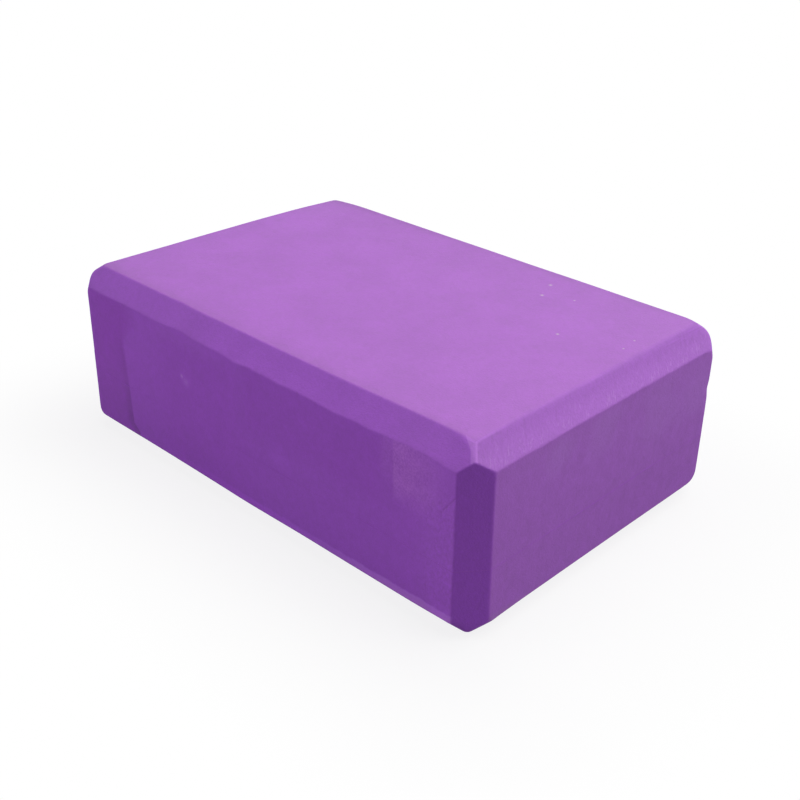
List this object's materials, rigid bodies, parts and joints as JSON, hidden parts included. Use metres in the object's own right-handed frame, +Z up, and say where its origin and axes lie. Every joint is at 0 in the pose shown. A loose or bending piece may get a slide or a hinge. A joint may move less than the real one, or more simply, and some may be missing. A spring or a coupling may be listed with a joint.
{
  "type": "yoga block",
  "caption": "Rectangular foam brick with bevelled edges, laminated from foam sheets, that supports a hand, foot or seat in yoga and stands on any of its faces.",
  "frame": {"origin": "centre of the largest face that the block rests on, at the floor", "axes": "+X along the length, +Y along the width, +Z up through the thickness"},
  "size_m": [0.2286, 0.1524, 0.0762],
  "materials": {
    "foam": "matte closed-cell EVA foam, purple, with fine cut grain",
    "glue": "thin film of contact glue, tinted by the foam"
  },
  "bodies": {
    "root": {"upper_foam_sheet": "foam", "lower_foam_sheet": "foam", "glue_film": "glue"}
  },
  "joints": []
}
